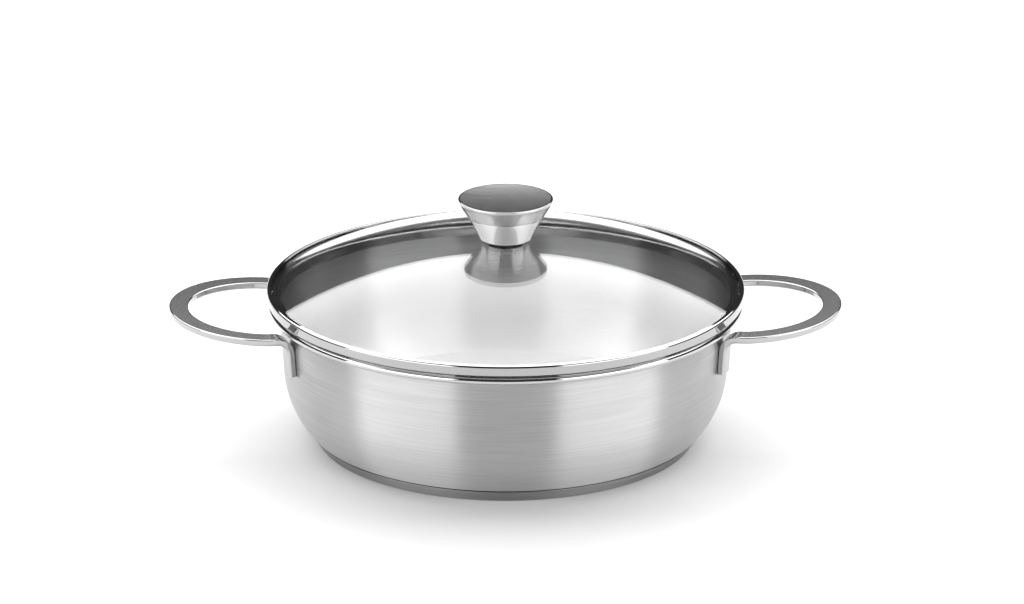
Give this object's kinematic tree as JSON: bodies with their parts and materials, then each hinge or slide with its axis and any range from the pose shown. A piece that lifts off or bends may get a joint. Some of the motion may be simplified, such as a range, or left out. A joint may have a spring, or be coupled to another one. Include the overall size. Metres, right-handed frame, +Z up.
{
  "type": "braiser",
  "caption": "Low round steel braiser with two flat ring handles, an encapsulated base and a domed glass lid with a conical knob.",
  "frame": {"origin": "centre of the base's underside", "axes": "+X through the two ring handles, +Z up through the lid's knob"},
  "size_m": [0.347, 0.246, 0.1276],
  "materials": {
    "vessel_steel": "brushed around the wall, polished on the lip",
    "base_steel": "satin, turned",
    "core_aluminium": "raw",
    "handle_steel": "satin top, polished edges",
    "lid_glass": "clear, polished",
    "band_steel": "polished",
    "dish_steel": "brushed",
    "skirt_steel": "polished",
    "insert_steel": "machined",
    "seal_silicone": "matt",
    "fastener_steel": "plain"
  },
  "bodies": {
    "pot": {"pot_body": "vessel_steel", "base_cap": "base_steel", "base_core": "core_aluminium", "handle_left": "handle_steel", "handle_right": "handle_steel"},
    "lid": {"lid_glass": "lid_glass", "lid_rim_band": "band_steel", "knob_dish": "dish_steel", "knob_skirt": "skirt_steel", "knob_insert": "insert_steel", "knob_seal_upper": "seal_silicone", "knob_seal_lower": "seal_silicone", "knob_washer": "fastener_steel", "knob_screw": "fastener_steel"}
  },
  "joints": [
    {"name": "lid_lift", "type": "slide", "parent": "pot", "child": "lid", "axis": [0, 0, 1], "range_m": [0, 0.15]}
  ]
}
